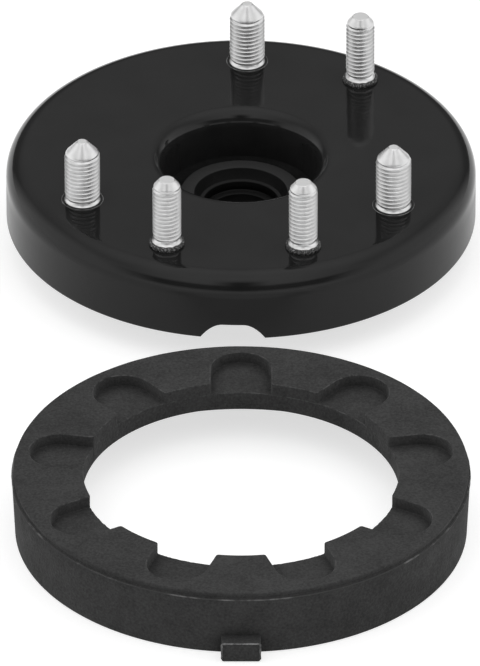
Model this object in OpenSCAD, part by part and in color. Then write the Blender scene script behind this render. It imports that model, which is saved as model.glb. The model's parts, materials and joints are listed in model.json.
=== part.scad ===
// Strut mount: a pressed steel plate with six studs and a rubber bush for the strut's rod,
// and the rubber ring that lies under the plate as the spring's seat.
// The plate's upper face is at z = 0, with the studs along +Z.

/* [Shell] */
// Outer diameter of the plate
shell_d = 136; // [120:1:160]
// Height from the rim's lower edge to the upper face
shell_h = 20; // [16:0.1:24]
// Thickness of the sheet
sheet_t = 2.5; // [2:0.1:3.5]
// Outside bend radius between the upper face and the rim
edge_r = 6.5; // [4:0.1:8]
// Inside diameter of the pocket
pocket_d = 45; // [44:0.5:50]
// Bend radius of the rolled lip round the pocket
lip_r = 4.5; // [4:0.1:7]
// Depth from the upper face to the underside of the pocket's floor
pocket_depth = 29; // [27:0.5:36]
// Outside bend radius at the foot of the pocket
foot_r = 4; // [3.6:0.1:5]
// Diameter of the hole in the pocket's floor
floor_hole_d = 36; // [34:0.5:38]

/* [Notch in the rim] */
// Width at the rim's lower edge
notch_w = 18.6; // [15:0.1:22]
// Width at the top of the notch
notch_top_w = 13; // [10:0.1:14]
// Height of the notch
notch_h = 4.5; // [3:0.1:6]
// Radius of the two upper corners
notch_r = 2; // [0.5:0.1:2.4]

/* [Thick studs] */
// Distance from the plate's edge to the circle that the three stand on
body_inset = 16.25; // [15.5:0.05:18.5]
// Outside diameter of the thread
body_d = 10.2; // [9:0.1:11]
// Length above the upper face
body_len = 19.6; // [15:0.1:30]
// Height of the cone at the tip
body_cone_h = 5.2; // [2:0.1:6]
// Diameter of the flat on the tip
body_tip_d = 3.4; // [2:0.1:6]
// Diameter of the shoulder that is pressed into the plate
body_shoulder_d = 11.4; // [11.2:0.1:12.5]
// Diameter of the head under the plate
body_head_d = 16; // [14:0.1:17]

/* [Thin studs] */
// Distance of the front pair from the plate's edge
slim_pair_inset = 15.2; // [14:0.1:15.2]
// Angle between the front pair
slim_pair_angle = 43.5; // [38:0.5:45]
// Distance of the rear one from the plate's edge
slim_rear_inset = 14; // [13.8:0.1:16]
// Direction of the rear one, from +X
slim_rear_angle = 52; // [48:0.5:52]
// Outside diameter of the thread
slim_d = 8.3; // [7:0.1:9]
// Length above the upper face
slim_len = 21.6; // [15:0.1:30]
// Height of the cone at the tip
slim_cone_h = 3.5; // [2:0.1:5]
// Diameter of the flat on the tip
slim_tip_d = 4.9; // [2:0.1:6]
// Diameter of the knurled shoulder that is pressed into the plate
slim_shoulder_d = 10.1; // [9.5:0.1:10.5]
// Diameter of the flared collar above the plate
slim_collar_d = 9; // [8:0.1:9.4]
// Diameter of the head under the plate
slim_head_d = 11; // [10.8:0.1:12.5]

/* [All studs] */
// Thickness of the heads
head_t = 3.2; // [2:0.1:4]
// Height of the collar above the upper face
collar_h = 1.6; // [1:0.1:2.5]
// Chamfer on the lower edge of the heads
head_chamfer = 0.6; // [0.3:0.1:1]

/* [Rod sleeve and bush] */
// Depth from the upper face to the sleeve's top
sleeve_depth = 12.9; // [11:0.1:16]
// Diameter of the sleeve's flange
flange_d = 35.4; // [33:0.1:37]
// Thickness of the sleeve's flange
flange_t = 2.5; // [1.5:0.1:3.5]
// Outside diameter of the sleeve under the flange
sleeve_d = 31; // [30:0.1:32]
// Diameter of the recess for the rod's nut at the sleeve's top
recess_d = 26.8; // [25:0.1:27.5]
// Depth of that recess
recess_h = 3; // [2:0.1:4]
// Taper of the recess, taken off its radius
recess_taper = 1.2; // [0.2:0.1:2]
// Diameter of the well under the recess
well_d = 21.6; // [20:0.1:22.5]
// Depth of the well
well_h = 3; // [2:0.1:4]
// Diameter of the bore for the strut's rod
rod_d = 17.5; // [14:0.1:18]
// How far the rubber's top stands below the sleeve's top
rubber_drop = 2; // [0.3:0.1:2]
// Depth of the grooves round the rubber's top and foot
rubber_groove = 1.2; // [0.5:0.1:1.5]

/* [Spring isolator] */
// Height of the ring
isolator_h = 20.2; // [16:0.1:24]
// Diameter of the bore
isolator_bore_d = 89.5; // [84:0.5:92]
// Thickness of the flange that the spring bears on
isolator_flange_t = 8.8; // [7:0.1:11]
// Thickness of the skirt round the spring
skirt_t = 6.6; // [6:0.1:8]
// Draft of the outside, taken off the radius at the foot
isolator_draft = 0.9; // [0:0.1:1.5]
// Radius of the upper outer edge
isolator_edge_r = 1.8; // [0.5:0.1:2.5]
// Radius in the corner between flange and skirt
spring_corner_r = 3; // [1:0.1:4]
// Width of the lead-in for the spring inside the skirt's foot
skirt_lead = 4.9; // [1:0.1:5]
// Height of that lead-in
skirt_lead_h = 3.9; // [1:0.1:5]
// Number of pockets
pocket_count = 9; // [9:9:18]
// How far the pockets' round ends stand outside the circle of the thick studs
pocket_shift = 0.3; // [0:0.1:1]
// Width of the tab
tab_w = 11; // [8:0.1:12]
// How far the tab stands out
tab_out = 3.8; // [3:0.1:6]
// Height of the tab
tab_h = 6.1; // [5:0.1:7.4]

/* [Clearances] */
// Between a pressed or bonded piece and its seat, on the radius
press_clear = 0.05; // [0.02:0.01:0.1]
// Between the isolator and the rim, on the radius
isolator_clear = 0.65; // [0.2:0.05:1]
// Between a stud's head and the pocket's side
head_side_clear = 0.7; // [0.7:0.1:1.5]
// Between a stud's head and the pocket's floor
head_floor_clear = 0.4; // [0.2:0.1:1]

/* [Layout] */
// Turn of the mount about its own axis
mount_turn = -2; // [-10:0.5:10]
// Gap between the rim and the ring that lies in front of it
lay_gap = 20.5; // [5:0.5:60]

/* [Hidden] */
shell_r = shell_d / 2;
body_pcd = shell_d - 2 * body_inset;
slim_pair_r = shell_r - slim_pair_inset;
slim_rear_r = shell_r - slim_rear_inset;
pocket_r = pocket_d / 2;
isolator_r = shell_r - sheet_t - isolator_clear;
isolator_bore_r = isolator_bore_d / 2;
skirt_r = isolator_r - isolator_draft - skirt_t;
isolator_y = -(shell_r + lay_gap + isolator_r);
tab_root_r = isolator_r - isolator_draft - (skirt_t - skirt_lead) / 2;
notch_angle = 270;
body_angles = [90, 210, 330];
slim_places = [
    [slim_pair_r, notch_angle - slim_pair_angle / 2],
    [slim_pair_r, notch_angle + slim_pair_angle / 2],
    [slim_rear_r, slim_rear_angle]
];
head_pocket_w = body_head_d + 2 * head_side_clear;
head_pocket_h = head_t + head_floor_clear;
cut_over = 1;
$fn = 96;

// A bend of the sheet in section: a quarter ring about its centre, from angle a to a + 90
module sheet_bend(centre, outer_r, a) {
    translate(centre)
        rotate(a)
            intersection() {
                difference() {
                    circle(outer_r);
                    circle(outer_r - sheet_t);
                }
                square(outer_r);
            }
}

// Half section of the pressed sheet, from the pocket's floor out to the rim
module shell_section() {
    lip_x = pocket_r + lip_r;
    foot_x = pocket_r + sheet_t - foot_r;
    foot_y = foot_r - pocket_depth;
    translate([lip_x, -sheet_t])
        square([shell_r - edge_r - lip_x, sheet_t]);
    sheet_bend([shell_r - edge_r, -edge_r], edge_r, 0);
    translate([shell_r - sheet_t, -shell_h])
        square([sheet_t, shell_h - edge_r]);
    sheet_bend([lip_x, -lip_r], lip_r, 90);
    translate([pocket_r, foot_y])
        square([sheet_t, -lip_r - foot_y]);
    sheet_bend([foot_x, foot_y], foot_r, 270);
    translate([floor_hole_d / 2, -pocket_depth])
        square([foot_x - floor_hole_d / 2, sheet_t]);
}

// Outline of the notch, with its foot on the X axis and its two upper corners rounded
module notch_outline() {
    lean = atan2((notch_w - notch_top_w) / 2, notch_h);
    corner_y = notch_h - notch_r;
    side_x = notch_w / 2 - corner_y * tan(lean);
    corner_x = side_x - notch_r / cos(lean);
    tangent = [corner_x + notch_r * cos(lean), corner_y + notch_r * sin(lean)];
    foot_x = notch_w / 2 + cut_over * tan(lean);
    polygon([
        [-foot_x, -cut_over], [foot_x, -cut_over], tangent, [corner_x, corner_y],
        [corner_x, notch_h], [-corner_x, notch_h], [-corner_x, corner_y], [-tangent.x, tangent.y]
    ]);
    for (side = [-1, 1])
        translate([side * corner_x, corner_y])
            circle(notch_r);
}

module at_body_studs() {
    for (a = body_angles)
        rotate(a)
            translate([body_pcd / 2, 0, 0])
                children();
}

module at_slim_studs() {
    for (place = slim_places)
        rotate(place[1])
            translate([place[0], 0, 0])
                children();
}

module stud_hole(shoulder_d) {
    translate([0, 0, -sheet_t - cut_over])
        cylinder(d = shoulder_d + 2 * press_clear, h = sheet_t + 2 * cut_over);
}

// A stud as turned: head under the plate, shoulder in the plate, collar, shank and cone
module stud(d, len, cone_h, tip_d, collar_d, shoulder_d, head_d) {
    rotate_extrude()
        polygon([
            [0, -sheet_t - head_t],
            [head_d / 2 - head_chamfer, -sheet_t - head_t],
            [head_d / 2, -sheet_t - head_t + head_chamfer],
            [head_d / 2, -sheet_t],
            [shoulder_d / 2, -sheet_t],
            [shoulder_d / 2, 0],
            [collar_d / 2, 0],
            [d / 2, collar_h],
            [d / 2, len - cone_h],
            [tip_d / 2, len],
            [0, len]
        ]);
}

// Pressed steel plate: upper face, rim, notch and drawn pocket
module shell() {
    color([0.05, 0.05, 0.05])
        rotate(mount_turn)
            difference() {
                rotate_extrude()
                    shell_section();
                at_body_studs()
                    stud_hole(body_shoulder_d);
                at_slim_studs()
                    stud_hole(slim_shoulder_d);
                rotate(notch_angle)
                    translate([shell_r - sheet_t - edge_r, 0, -shell_h])
                        rotate([90, 0, 90])
                            linear_extrude(sheet_t + edge_r + cut_over)
                                notch_outline();
            }
}

// Three thick studs that hold the mount to the body
module body_studs() {
    color([0.8, 0.81, 0.8])
        rotate(mount_turn)
            at_body_studs()
                stud(body_d, body_len, body_cone_h, body_tip_d, body_d, body_shoulder_d, body_head_d);
}

// Three thin studs with knurled shoulders
module slim_studs() {
    color([0.8, 0.81, 0.8])
        rotate(mount_turn)
            at_slim_studs()
                stud(slim_d, slim_len, slim_cone_h, slim_tip_d, slim_collar_d, slim_shoulder_d, slim_head_d);
}

// Rubber between the pocket and the sleeve, with a groove round its top and its foot
module rod_bush() {
    outer_r = pocket_r - press_clear;
    inner_r = sleeve_d / 2 + press_clear;
    neck_r = flange_d / 2 + press_clear;
    top_y = -sleeve_depth - rubber_drop;
    seat_y = -sleeve_depth - flange_t;
    foot_y = sheet_t - pocket_depth;
    groove_x = (neck_r + outer_r) / 2;
    inside_bend = foot_r - sheet_t;
    color([0.03, 0.03, 0.03])
        rotate_extrude()
            difference() {
                union() {
                    translate([inner_r, foot_y])
                        square([outer_r - inside_bend - inner_r, seat_y - foot_y]);
                    translate([neck_r, foot_y + inside_bend])
                        square([outer_r - neck_r, top_y - foot_y - inside_bend]);
                }
                translate([groove_x, top_y])
                    circle(rubber_groove);
            }
}

// Stepped steel sleeve: flange, tapered nut recess, well and bore for the rod
module rod_sleeve() {
    top_y = -sleeve_depth;
    floor_r = recess_d / 2 - recess_taper;
    color([0.18, 0.18, 0.18])
        rotate_extrude()
            polygon([
                [rod_d / 2, -pocket_depth],
                [sleeve_d / 2, -pocket_depth],
                [sleeve_d / 2, top_y - flange_t],
                [flange_d / 2, top_y - flange_t],
                [flange_d / 2, top_y],
                [recess_d / 2, top_y],
                [floor_r, top_y - recess_h],
                [well_d / 2, top_y - recess_h],
                [well_d / 2, top_y - recess_h - well_h],
                [rod_d / 2, top_y - recess_h - well_h]
            ]);
}

// Half section of the isolator, with its foot at zero height
module isolator_section() {
    seat_y = isolator_h - isolator_flange_t;
    edge_y = isolator_h - isolator_edge_r;
    corner = [skirt_r - spring_corner_r, seat_y - spring_corner_r];
    difference() {
        union() {
            polygon([
                [isolator_bore_r, seat_y],
                [skirt_r - spring_corner_r, seat_y],
                [skirt_r, seat_y - spring_corner_r],
                [skirt_r, skirt_lead_h],
                [skirt_r + skirt_lead, 0],
                [isolator_r - isolator_draft, 0],
                [isolator_r, edge_y],
                [isolator_r - isolator_edge_r, edge_y],
                [isolator_r - isolator_edge_r, isolator_h],
                [isolator_bore_r, isolator_h]
            ]);
            translate([isolator_r - isolator_edge_r, edge_y])
                circle(isolator_edge_r);
            translate(corner)
                square(spring_corner_r);
        }
        translate(corner)
            circle(spring_corner_r);
    }
}

// Pocket that clears a stud's head, open towards the bore
module head_pocket() {
    end_r = body_pcd / 2 + pocket_shift;
    translate([0, 0, isolator_h - head_pocket_h])
        linear_extrude(head_pocket_h + cut_over) {
            translate([end_r, 0])
                circle(d = head_pocket_w);
            translate([isolator_bore_r - head_pocket_w / 2, -head_pocket_w / 2])
                square([end_r - isolator_bore_r + head_pocket_w / 2, head_pocket_w]);
        }
}

// Rubber ring between the plate and the spring, lying in front of the mount
module spring_isolator() {
    color([0.16, 0.16, 0.16])
        translate([0, isolator_y, -pocket_depth]) {
            difference() {
                rotate_extrude()
                    isolator_section();
                for (i = [0 : pocket_count - 1])
                    rotate(body_angles[0] + i * 360 / pocket_count)
                        head_pocket();
            }
            rotate(notch_angle)
                translate([tab_root_r, -tab_w / 2, 0])
                    cube([isolator_r + tab_out - tab_root_r, tab_w, tab_h]);
        }
}

shell();
body_studs();
slim_studs();
rod_bush();
rod_sleeve();
spring_isolator();
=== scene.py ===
# %% [markdown]
# # Strut mount
# This lesson dresses the solids of a strut mount, the plate that holds the top of a car's strut to the
# body, and of the rubber ring that lies in front of it. The solids arrive as a fixed frame in metres,
# with +Z along the studs and the plate's upper face at zero height. Blender adds what the solids leave
# out: bent sheet with a soft paint skin, rolled threads, knurls, and rubber with the marks of its mould.

# %% Load the solids
import json
from math import atan2, ceil, cos, degrees, pi, radians, sin, sqrt

import bmesh
import bpy
from mathutils import Matrix, Vector, noise


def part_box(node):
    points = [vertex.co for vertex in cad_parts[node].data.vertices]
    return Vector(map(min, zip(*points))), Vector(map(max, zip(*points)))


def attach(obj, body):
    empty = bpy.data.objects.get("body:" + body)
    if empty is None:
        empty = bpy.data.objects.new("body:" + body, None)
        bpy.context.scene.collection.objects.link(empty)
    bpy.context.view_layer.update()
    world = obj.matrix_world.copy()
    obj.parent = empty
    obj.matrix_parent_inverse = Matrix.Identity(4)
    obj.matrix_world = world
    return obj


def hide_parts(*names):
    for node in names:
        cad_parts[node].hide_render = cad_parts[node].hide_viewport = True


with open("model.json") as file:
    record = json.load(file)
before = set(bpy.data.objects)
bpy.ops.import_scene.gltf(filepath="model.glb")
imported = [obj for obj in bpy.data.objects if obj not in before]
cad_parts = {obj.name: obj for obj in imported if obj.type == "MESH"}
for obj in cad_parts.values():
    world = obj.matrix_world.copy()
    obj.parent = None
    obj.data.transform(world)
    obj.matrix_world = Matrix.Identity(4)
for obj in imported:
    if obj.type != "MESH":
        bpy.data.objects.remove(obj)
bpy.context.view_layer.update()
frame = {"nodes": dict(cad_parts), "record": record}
mounts = {mount["name"]: mount for mount in frame["record"]["mounts"]}
print("solids:", sorted(frame["nodes"]))

# %% [markdown]
# ## Sizes
# The large sizes come from the boxes of the solids and from the mounts that the record states. A circle
# made of facets falls a little short of its radius, so radii are rounded to a tenth of a millimetre.
# Small sizes are written where they are first needed, in millimetres times MM.

# %% Sizes from the frame
MM = 0.001
MOUNT_TURN = radians(-2)

shell_low, shell_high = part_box("shell")
ring_low, ring_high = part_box("spring_isolator")
shell_r = round((shell_high.x - shell_low.x) / 2, 4)
ring_r = round((ring_high.x - ring_low.x) / 2, 4)
ring_centre = Vector((0, ring_high.y - ring_r, ring_low.z))
floor_z = shell_low.z
print("shell radius", shell_r, "ring radius", ring_r, "ring centre", ring_centre[:])

# %% [markdown]
# ## Camera
# The picture looks down at about a third of a right angle. A very long lens from far away shows
# both pieces at the same angle, which a close camera could not do. The focal length follows from
# how many pixels the plate takes up, and the aim from the picture row of the plate's middle.

# %% Camera
PHOTO_W, PHOTO_H = 480, 666
PLATE_HALF_PX = 235.0
PLATE_ROW_PX = 154.5
PLATE_COLUMN_PX = 241.0
VIEW_ELEVATION = radians(32.5)
VIEW_DISTANCE = 5.0
VIEW_END = 200


def make_camera():
    pixels_per_metre = PLATE_HALF_PX / shell_r
    rows_up = PHOTO_H / 2 - PLATE_ROW_PX
    columns_left = PHOTO_W / 2 - PLATE_COLUMN_PX
    aim = Vector((columns_left / pixels_per_metre,
                  -rows_up / pixels_per_metre / sin(VIEW_ELEVATION), 0))
    plate_distance = VIEW_DISTANCE - aim.y * cos(VIEW_ELEVATION)
    lens_data = bpy.data.cameras.new("photo_camera")
    lens_data.lens = pixels_per_metre * plate_distance * lens_data.sensor_width / PHOTO_H
    lens_data.clip_end = VIEW_END
    back = Vector((0, -cos(VIEW_ELEVATION), sin(VIEW_ELEVATION)))
    camera = bpy.data.objects.new("photo_camera", lens_data)
    camera.location = aim + back * VIEW_DISTANCE
    camera.rotation_euler = (pi / 2 - VIEW_ELEVATION, 0, 0)
    bpy.context.collection.objects.link(camera)
    bpy.context.scene.camera = camera
    return camera


camera = make_camera()
print("camera lens", round(camera.data.lens, 1), "mm")

# %% [markdown]
# ## Mesh helpers
# Nearly every piece here was turned, pressed or moulded round an axis. So one helper skins a stack
# of loops with quads, and another turns a half section into such a stack. A modifier (Screw) could
# turn a section too, but loops in code let one edge change along the way, as the rim does at its notch.

# %% Mesh helpers
SHARP_ANGLE = radians(34)
MERGE = 1e-7


def smooth_faces(build):
    """Smooth shading, with edges that bend by more than SHARP_ANGLE left sharp."""
    for face in build.faces:
        face.smooth = True
    for edge in build.edges:
        edge.smooth = edge.is_manifold and edge.calc_face_angle(0) < SHARP_ANGLE


def finish_mesh(name, build):
    """Welds, orients and smooths a bmesh, and puts it in the scene as one object."""
    bmesh.ops.remove_doubles(build, verts=build.verts, dist=MERGE)
    bmesh.ops.dissolve_degenerate(build, edges=build.edges, dist=MERGE)
    bmesh.ops.recalc_face_normals(build, faces=build.faces)
    smooth_faces(build)
    mesh = bpy.data.meshes.new(name)
    build.to_mesh(mesh)
    build.free()
    piece = bpy.data.objects.new(name, mesh)
    bpy.context.collection.objects.link(piece)
    return piece


def skin_loops(build, loops, closed=True):
    """Quads between each loop and the next; a closed stack joins the last loop to the first."""
    rings = [[build.verts.new(point) for point in loop] for loop in loops]
    pairs = zip(rings, rings[1:] + rings[:1] if closed else rings[1:])
    for low, high in pairs:
        count = len(low)
        for k in range(count):
            build.faces.new((low[k], low[(k + 1) % count], high[(k + 1) % count], high[k]))


def turned_point(radius, angle, z):
    """A point at a radius, an angle round the Z axis and a height."""
    return Vector((radius * cos(angle), radius * sin(angle), z))


def turned_loops(section, segments):
    """Loops of a half section of (radius, height) points turned round the Z axis."""
    angles = [2 * pi * k / segments for k in range(segments)]
    return [[turned_point(r, a, z) for a in angles] for r, z in section]


def turned_mesh(section, segments):
    """A closed half section turned round the Z axis."""
    build = bmesh.new()
    skin_loops(build, turned_loops(section, segments))
    return build


def arc(centre_r, centre_z, radius, start, end, steps=8):
    """Points of a bend in a half section, with its angles in degrees."""
    turns = [radians(start + (end - start) * i / steps) for i in range(steps + 1)]
    return [(centre_r + radius * cos(t), centre_z + radius * sin(t)) for t in turns]


print("a quarter bend has", len(arc(0, 0, 1, 0, 90)), "points")

# %% [markdown]
# ## Shell
# The plate is one steel sheet, drawn in a press: a flat face, a round edge, a rim turned down, and a
# deep pocket with a rolled lip. A section turned round the axis gives all of that. The notch in the
# rim is made in the same loops: the lower edge rises there, so it needs no cutting. A support point
# close to each bend keeps the flat parts flat in the paint's reflections.

# %% Two sides of the shell's section
SHEET = 2.5 * MM
EDGE_R = 6.5 * MM
LIP_R = 4.5 * MM
POCKET_R = 22.5 * MM
FOOT_R = 4 * MM
FLOOR_HOLE_R = 18 * MM
CUT_EDGE = 0.45 * MM
SUPPORT = 0.3 * MM
FACE_SUPPORT = 6 * SUPPORT

rim_inner_r = shell_r - SHEET
pocket_outer_r = POCKET_R + SHEET
lip_x = POCKET_R + LIP_R
edge_x = shell_r - EDGE_R
foot_x = pocket_outer_r - FOOT_R
foot_z = floor_z + FOOT_R


def upper_side(low):
    """From the floor's hole up the pocket, over the face and down the rim's outside."""
    points = [(FLOOR_HOLE_R, floor_z + SHEET - CUT_EDGE), (FLOOR_HOLE_R + CUT_EDGE, floor_z + SHEET)]
    points += arc(foot_x, foot_z, FOOT_R - SHEET, 270, 360, steps=4)
    points += [(POCKET_R, foot_z + SUPPORT), (POCKET_R, -LIP_R - SUPPORT)]
    points += arc(lip_x, -LIP_R, LIP_R, 180, 90, steps=14)
    points += [(lip_x + SUPPORT, 0), (lip_x + FACE_SUPPORT, 0)]
    points += [(edge_x - FACE_SUPPORT, 0), (edge_x - SUPPORT, 0)]
    points += arc(edge_x, -EDGE_R, EDGE_R, 90, 0, steps=16)
    points += [(shell_r, -EDGE_R - SUPPORT), (shell_r, low + CUT_EDGE + SUPPORT)]
    return points + arc(shell_r - CUT_EDGE, low + CUT_EDGE, CUT_EDGE, 0, -90, steps=4)


def lower_side(low):
    """Back up the rim's inside, under the face and down the pocket."""
    points = arc(rim_inner_r + CUT_EDGE, low + CUT_EDGE, CUT_EDGE, 270, 180, steps=4)
    points += [(rim_inner_r, low + CUT_EDGE + SUPPORT), (rim_inner_r, -EDGE_R - SUPPORT)]
    points += arc(edge_x, -EDGE_R, EDGE_R - SHEET, 0, 90)
    points += [(edge_x - SUPPORT, -SHEET), (lip_x + SUPPORT, -SHEET)]
    points += arc(lip_x, -LIP_R, LIP_R - SHEET, 90, 180)
    points += [(pocket_outer_r, -LIP_R - SUPPORT), (pocket_outer_r, foot_z + SUPPORT)]
    points += arc(foot_x, foot_z, FOOT_R, 0, -90)
    return points + [(FLOOR_HOLE_R + CUT_EDGE, floor_z), (FLOOR_HOLE_R, floor_z + CUT_EDGE)]


print("pocket reaches", round(-floor_z / MM, 1), "mm below the face")

# %% Shell section with its notch
RIM_HEIGHT = 20 * MM
NOTCH_W = 18.6 * MM
NOTCH_RUN = 6.4 * MM
NOTCH_H = 4.5 * MM
NOTCH_ANGLE = radians(270) + MOUNT_TURN
NOTCH_REACH = radians(9)
PLATE_STEPS = 240
NOTCH_STEPS = 96


def notch_height(across):
    """How far the rim's lower edge rises at a distance from the notch's middle."""
    share = min(1, max(0, (NOTCH_W / 2 - abs(across)) / NOTCH_RUN))
    return NOTCH_H * (1 - (1 - share) ** 2)


def shell_section(angle):
    """The sheet's closed section at one angle round the axis."""
    off = angle - NOTCH_ANGLE
    near_notch = cos(off) > 0
    outer_low, inner_low = (
        -RIM_HEIGHT + (notch_height(r * sin(off)) if near_notch else 0)
        for r in (shell_r, rim_inner_r))
    return upper_side(outer_low) + lower_side(inner_low)


def shell_angles():
    """Even steps round the plate, and finer ones across the notch."""
    start, end = NOTCH_ANGLE - NOTCH_REACH, NOTCH_ANGLE + NOTCH_REACH
    span = 2 * pi - 2 * NOTCH_REACH
    outside = [end + span * k / PLATE_STEPS for k in range(PLATE_STEPS)]
    return outside + [start + 2 * NOTCH_REACH * k / NOTCH_STEPS for k in range(NOTCH_STEPS)]


print("notch rises", round(notch_height(0) / MM, 2), "mm")

# %% [markdown]
# ## Stud holes
# Each stud is pressed into a hole from below. A Boolean modifier with plain cylinders cuts the six
# holes; the face round them is flat, so the cut leaves no mark.

# %% Shell with its stud holes
STUD_FIRST_ANGLE = radians(90) + MOUNT_TURN
BODY_SHOULDER_R = 5.7 * MM
SLIM_SHOULDER_R = 5.05 * MM
HOLE_GAP = 0.1 * MM
HOLE_SEGMENTS = 64

stud_circle_r = mounts["body_studs"]["dims"]["pcd_mm"] * MM / 2
body_places = [
    turned_point(1, STUD_FIRST_ANGLE + k * 2 * pi / 3, 0) * stud_circle_r for k in range(3)]
slim_places = [
    Vector((*mounts[name]["pos_m"][:2], 0))
    for name in ("slim_stud_left", "slim_stud_right", "slim_stud_rear")]


def combine(piece, other, operation):
    """Cuts the other piece out of a piece, or joins it on, and removes the other."""
    boolean = piece.modifiers.new("combine", "BOOLEAN")
    boolean.object = other
    boolean.operation = operation
    boolean.solver = "EXACT"
    graph = bpy.context.evaluated_depsgraph_get()
    build = bmesh.new()
    build.from_mesh(bpy.data.meshes.new_from_object(piece.evaluated_get(graph)))
    piece.modifiers.clear()
    bmesh.ops.remove_doubles(build, verts=build.verts, dist=MERGE)
    smooth_faces(build)
    build.to_mesh(piece.data)
    build.free()
    bpy.data.objects.remove(other)


def make_shell():
    sections = [(angle, shell_section(angle)) for angle in shell_angles()]
    build = bmesh.new()
    skin_loops(build, [
        [turned_point(points[i][0], angle, points[i][1]) for angle, points in sections]
        for i in range(len(sections[0][1]))])
    shell = finish_mesh("pressed_shell", build)
    cutter = bmesh.new()
    for places, shoulder_r in ((body_places, BODY_SHOULDER_R), (slim_places, SLIM_SHOULDER_R)):
        hole_r = shoulder_r + HOLE_GAP
        for place in places:
            bmesh.ops.create_cone(
                cutter, cap_ends=True, segments=HOLE_SEGMENTS, radius1=hole_r, radius2=hole_r,
                depth=4 * SHEET, matrix=Matrix.Translation(place - Vector((0, 0, SHEET / 2))))
    combine(shell, finish_mesh("stud_hole_cutter", cutter), "DIFFERENCE")
    return shell


shell = make_shell()
print("shell faces", len(shell.data.polygons))

# %% [markdown]
# ## Threads
# A rolled thread is a ridge along a helix. Here the rows of the mesh run along that helix: every
# column of points is a little higher than the one before, and the last column meets the first one
# pitch further up. So the crests are clean lines, which a ring-by-ring mesh can't give. At both ends
# the heights are clamped and the ridge fades out, so that plain turned loops can meet it.

# %% Thread
PITCH = 1.28 * MM
THREAD_DEPTH = 0.74 * MM
NECK_DEPTH = 0.58 * MM
CREST_SHARE = 0.08
FLANK_SHARE = 0.78
FADE_IN = 0.8 * PITCH
FADE_OUT = 1.2 * PITCH
START_BACK = 1.5
SPARE_TURNS = 2
COLUMNS = 72
ROWS_PER_PITCH = 12


def rise(start, end, value):
    """Smooth step from 0 at start to 1 at end."""
    t = min(1, max(0, (value - start) / (end - start)))
    return t * t * (3 - 2 * t)


def ridge(phase):
    """Depth below the crest along one pitch, from 0 on the narrow crest to 1 in the root."""
    return min(1, max(0, (abs(2 * phase - 1) - CREST_SHARE) / FLANK_SHARE))


def add_thread(build, outside, low, high):
    """A threaded stretch, open at both ends; outside gives its radius at a height."""
    rows = (ceil((high - low) / PITCH) + SPARE_TURNS) * ROWS_PER_PITCH
    grid = []
    for i in range(rows + ROWS_PER_PITCH + 1):
        row = []
        for k in range(COLUMNS):
            z = low + PITCH * (i / ROWS_PER_PITCH + k / COLUMNS - START_BACK)
            z = min(high, max(low, z))
            bite = ridge(i % ROWS_PER_PITCH / ROWS_PER_PITCH) * rise(0, FADE_OUT, high - z)
            begun = rise(0, FADE_IN, z - low)
            r = outside(z) - THREAD_DEPTH * bite * begun - NECK_DEPTH * (1 - begun)
            row.append(build.verts.new(turned_point(r, 2 * pi * k / COLUMNS, z)))
        grid.append(row)
    for i in range(rows):
        for k in range(COLUMNS):
            step = ROWS_PER_PITCH if k == COLUMNS - 1 else 0
            right = (k + 1) % COLUMNS
            build.faces.new((grid[i][k], grid[i + step][right], grid[i + step + 1][right], grid[i + 1][k]))


print("thread pitch", round(PITCH / MM, 2), "mm")

# %% [markdown]
# ## Studs
# A stud has a head under the sheet, a shoulder in the hole, a flared collar on the face, the thread,
# and a plain cone that finds the nut. All but the thread are turned loops with as many columns as the
# thread, so that their ends weld to it. One stud of each kind is made and copied.

# %% Ends of a stud
HEAD_T = 3.2 * MM
HEAD_CHAMFER = 0.6 * MM
SHOULDER_TOP = -0.2 * MM
FLARE_EDGE = 0.15 * MM
FLARE_POWER = 1.5
TIP_SUPPORT = 0.8
TIP_STEPS = 5
END_SHARES = [i / 8 for i in range(9)]


def add_tip(build, length, cone_h, cone_r, tip_r, tip_round):
    """The cone above the thread, with a rounded edge round its flat end."""
    low = length - cone_h
    slope = atan2(cone_r - tip_r, cone_h)
    round_r = tip_r + tip_round * cos(slope)
    round_z = length - tip_round + tip_round * sin(slope)
    tip = [(cone_r + (round_r - cone_r) * t, low + (round_z - low) * t) for t in END_SHARES]
    tip += arc(tip_r, length - tip_round, tip_round, degrees(slope), 90, TIP_STEPS)[1:]
    tip += [(tip_r * TIP_SUPPORT, length), (0, length)]
    skin_loops(build, turned_loops(tip, COLUMNS), closed=False)


def add_foot(build, neck_r, flare_r, flare_low, thread_low, shoulder_r, head_r):
    """The head under the plate, the shoulder in its hole and the flared collar."""
    head_low = -SHEET - HEAD_T
    flare_top = flare_low + FLARE_EDGE
    foot = [(0, head_low), (head_r - HEAD_CHAMFER, head_low), (head_r, head_low + HEAD_CHAMFER),
            (head_r, -SHEET), (shoulder_r, -SHEET), (shoulder_r, SHOULDER_TOP),
            (flare_r, SHOULDER_TOP), (flare_r, flare_low)]
    foot += [(neck_r + (flare_r - neck_r) * (1 - t) ** FLARE_POWER,
              flare_top + (thread_low - flare_top) * t) for t in END_SHARES]
    skin_loops(build, turned_loops(foot, COLUMNS), closed=False)


print("stud head is", round(HEAD_T / MM, 1), "mm thick")

# %% Studs
KNURL_WALL = 0.4 * MM


def stud_mesh(radius, length, taper_h, cone_h, cone_r, tip_r, tip_round, collar, shoulder_r, head_r):
    """One stud at the origin; its collar is (radius, lower edge, start of the thread)."""
    build = bmesh.new()
    taper_low = length - taper_h
    cone_low = length - cone_h

    def outside(z):
        t = max(0, z - taper_low) / (cone_low - taper_low)
        return radius - (radius - cone_r) * t * t

    add_thread(build, outside, collar[2], cone_low)
    add_tip(build, length, cone_h, cone_r, tip_r, tip_round)
    add_foot(build, radius - NECK_DEPTH, *collar, shoulder_r, head_r)
    return build


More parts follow.
